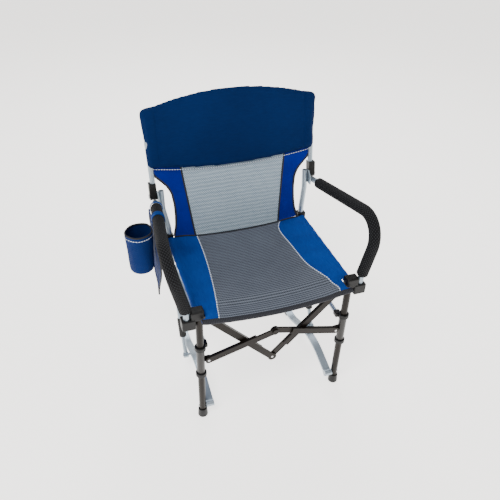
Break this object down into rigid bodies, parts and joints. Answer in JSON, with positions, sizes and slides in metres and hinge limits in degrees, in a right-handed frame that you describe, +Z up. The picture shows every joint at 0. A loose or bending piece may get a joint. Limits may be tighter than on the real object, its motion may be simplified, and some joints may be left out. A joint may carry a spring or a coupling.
{
  "type": "folding rocking camp chair",
  "caption": "Folding camp chair with fabric seat and back, foam-gripped armrests, a cup pouch and sprung rocker bases; it folds sideways and its back folds down.",
  "frame": {"origin": "on the floor under the centre of the bounding box; the cup pouch shifts the chair itself 32.4 mm towards +X", "axes": "+Z up, -Y towards the front of the chair, +X towards the side without the pouch"},
  "size_m": [0.7156, 0.5023, 0.9244],
  "materials": {
    "bronze_paint": "satin",
    "silver_tube": "satin",
    "black_plastic": "matte",
    "black_metal": "satin",
    "steel_pin": "brushed",
    "black_rubber": "matte",
    "foam_grip": "braided",
    "blue_fabric": "woven",
    "navy_fabric": "woven",
    "grey_mesh": "mesh"
  },
  "bodies": {
    "frame_left": {"front_leg_left": "bronze_paint", "front_foot_left": "black_plastic", "corner_joint_left": "black_plastic", "seat_rail_left": "silver_tube", "rear_corner_left": "black_plastic", "rear_support_left": "silver_tube", "arm_tube_left": "silver_tube", "arm_grip_left": "foam_grip", "hinge_plate_left": "silver_tube", "frame_brackets_left": "black_metal", "frame_pins_left": "steel_pin", "rail_sleeve_left": "blue_fabric", "cup_pouch": "navy_fabric", "arm_pocket": "navy_fabric"},
    "frame_right": {"front_leg_right": "bronze_paint", "front_foot_right": "black_plastic", "corner_joint_right": "black_plastic", "seat_rail_right": "silver_tube", "rear_corner_right": "black_plastic", "rear_support_right": "silver_tube", "arm_tube_right": "silver_tube", "arm_grip_right": "foam_grip", "hinge_plate_right": "silver_tube", "frame_brackets_right": "black_metal", "frame_pins_right": "steel_pin", "rail_sleeve_right": "blue_fabric"},
    "long_bars_left": {"long_cross_bars_left": "bronze_paint", "low_hub_pins": "steel_pin"},
    "long_bars_right": {"long_cross_bars_right": "bronze_paint"},
    "slider_left": {"slider_sleeve_left": "black_metal", "slider_collars_left": "black_plastic", "side_stretcher_left": "silver_tube", "slider_pins_left": "steel_pin"},
    "short_bars_left": {"short_cross_bars_left": "bronze_paint"},
    "base_left": {"base_bar_left": "silver_tube", "base_foot_left": "black_plastic"},
    "strut_left": {"strut_tube_left": "silver_tube", "strut_sleeve_left": "black_rubber", "strut_spring_left": "steel_pin"},
    "strut_rod_left": {"strut_rod_left": "silver_tube"},
    "back_left": {"hinge_knuckle_left": "black_plastic", "back_upright_left": "silver_tube"},
    "slider_right": {"slider_sleeve_right": "black_metal", "slider_collars_right": "black_plastic", "side_stretcher_right": "silver_tube", "slider_pins_right": "steel_pin"},
    "short_bars_right": {"short_cross_bars_right": "bronze_paint"},
    "base_right": {"base_bar_right": "silver_tube", "base_foot_right": "black_plastic"},
    "strut_right": {"strut_tube_right": "silver_tube", "strut_sleeve_right": "black_rubber", "strut_spring_right": "steel_pin"},
    "strut_rod_right": {"strut_rod_right": "silver_tube"},
    "back_right": {"hinge_knuckle_right": "black_plastic", "back_upright_right": "silver_tube"},
    "seat_fabric": {"seat_panel": "blue_fabric", "back_lower_panel": "grey_mesh"},
    "back_fabric": {"back_upper_panel": "grey_mesh", "head_panel": "navy_fabric"}
  },
  "joints": [
    {"name": "side_fold", "type": "hinge", "parent": "frame_left", "child": "long_bars_left", "pos_m": [-0.1796, -0.2095, 0.424], "axis": [0, 1, 0], "range_deg": [0, 31.5]},
    {"name": "cross_hub", "type": "hinge", "parent": "long_bars_left", "child": "long_bars_right", "pos_m": [0.0324, -0.2095, 0.193], "axis": [0, 1, 0], "range_deg": [-63, 0]},
    {"name": "right_pivot", "type": "hinge", "parent": "long_bars_right", "child": "frame_right", "pos_m": [0.2444, -0.2095, 0.424], "axis": [0, 1, 0], "range_deg": [0, 31.5]},
    {"name": "slider_travel_left", "type": "slide", "parent": "frame_left", "child": "slider_left", "axis": [0, 0, -1], "range_m": [0, 0.13048]},
    {"name": "short_bar_turn_left", "type": "hinge", "parent": "slider_left", "child": "short_bars_left", "pos_m": [-0.1796, -0.2215, 0.258], "axis": [0, -1, 0], "range_deg": [0, 58.39]},
    {"name": "slider_travel_right", "type": "slide", "parent": "frame_right", "child": "slider_right", "axis": [0, 0, -1], "range_m": [0, 0.13048]},
    {"name": "short_bar_turn_right", "type": "hinge", "parent": "slider_right", "child": "short_bars_right", "pos_m": [0.2444, -0.2215, 0.258], "axis": [0, 1, 0], "range_deg": [0, 58.39]},
    {"name": "seat_gather", "type": "slide", "parent": "frame_left", "child": "seat_fabric", "axis": [-1, 0, 0], "range_m": [0, 0.15195], "deforming": ["seat_panel", "back_lower_panel"]},
    {"name": "back_fold", "type": "hinge", "parent": "frame_left", "child": "back_left", "pos_m": [-0.2376, 0.194, 0.604], "axis": [-1, 0, 0], "range_deg": [0, 160]},
    {"name": "back_fold_right", "type": "hinge", "parent": "frame_right", "child": "back_right", "pos_m": [0.3024, 0.194, 0.604], "axis": [-1, 0, 0], "range_deg": [0, 160]},
    {"name": "back_gather", "type": "slide", "parent": "back_left", "child": "back_fabric", "axis": [-1, 0, 0], "range_m": [0, 0.15195], "deforming": ["back_upper_panel", "head_panel"]},
    {"name": "rock", "type": "hinge", "parent": "frame_left", "child": "base_left", "pos_m": [-0.1876, -0.218, 0.046], "axis": [1, 0, 0], "range_deg": [0, 7], "stiffness_Nm_per_rad": 120, "springref_deg": -5.73},
    {"name": "rock_right", "type": "hinge", "parent": "frame_right", "child": "base_right", "pos_m": [0.2524, -0.218, 0.046], "axis": [1, 0, 0], "range_deg": [0, 7], "stiffness_Nm_per_rad": 120, "springref_deg": -5.73},
    {"name": "strut_swing_left", "type": "hinge", "parent": "frame_left", "child": "strut_left", "pos_m": [-0.2081, 0.154, 0.414], "axis": [-1, 0, 0], "range_deg": [0, 2.18]},
    {"name": "strut_stroke_left", "type": "slide", "parent": "strut_left", "child": "strut_rod_left", "axis": [0, 0.4138, 0.9104], "range_m": [0, 0.0217], "deforming": ["strut_spring_left"]},
    {"name": "strut_swing_right", "type": "hinge", "parent": "frame_right", "child": "strut_right", "pos_m": [0.2729, 0.154, 0.414], "axis": [-1, 0, 0], "range_deg": [0, 2.18]},
    {"name": "strut_stroke_right", "type": "slide", "parent": "strut_right", "child": "strut_rod_right", "axis": [0, 0.4138, 0.9104], "range_m": [0, 0.0217], "deforming": ["strut_spring_right"]}
  ],
  "couplings": [
    {"joint": "cross_hub", "follows": "side_fold", "ratio": -2},
    {"joint": "right_pivot", "follows": "side_fold", "ratio": 1},
    {"joint": "slider_travel_left", "follows": "side_fold", "m_per_rad": 0.23731},
    {"joint": "short_bar_turn_left", "follows": "side_fold", "ratio": 1.8533},
    {"joint": "slider_travel_right", "follows": "side_fold", "m_per_rad": 0.23731},
    {"joint": "short_bar_turn_right", "follows": "side_fold", "ratio": 1.8533},
    {"joint": "seat_gather", "follows": "side_fold", "m_per_rad": 0.27636},
    {"joint": "back_fold_right", "follows": "back_fold", "ratio": 1},
    {"joint": "back_gather", "follows": "side_fold", "m_per_rad": 0.27636},
    {"joint": "rock_right", "follows": "rock", "ratio": 1},
    {"joint": "strut_swing_left", "follows": "rock", "ratio": 0.31081},
    {"joint": "strut_stroke_left", "follows": "rock", "m_per_rad": 0.17752},
    {"joint": "strut_swing_right", "follows": "rock", "ratio": 0.31081},
    {"joint": "strut_stroke_right", "follows": "rock", "m_per_rad": 0.17752}
  ]
}
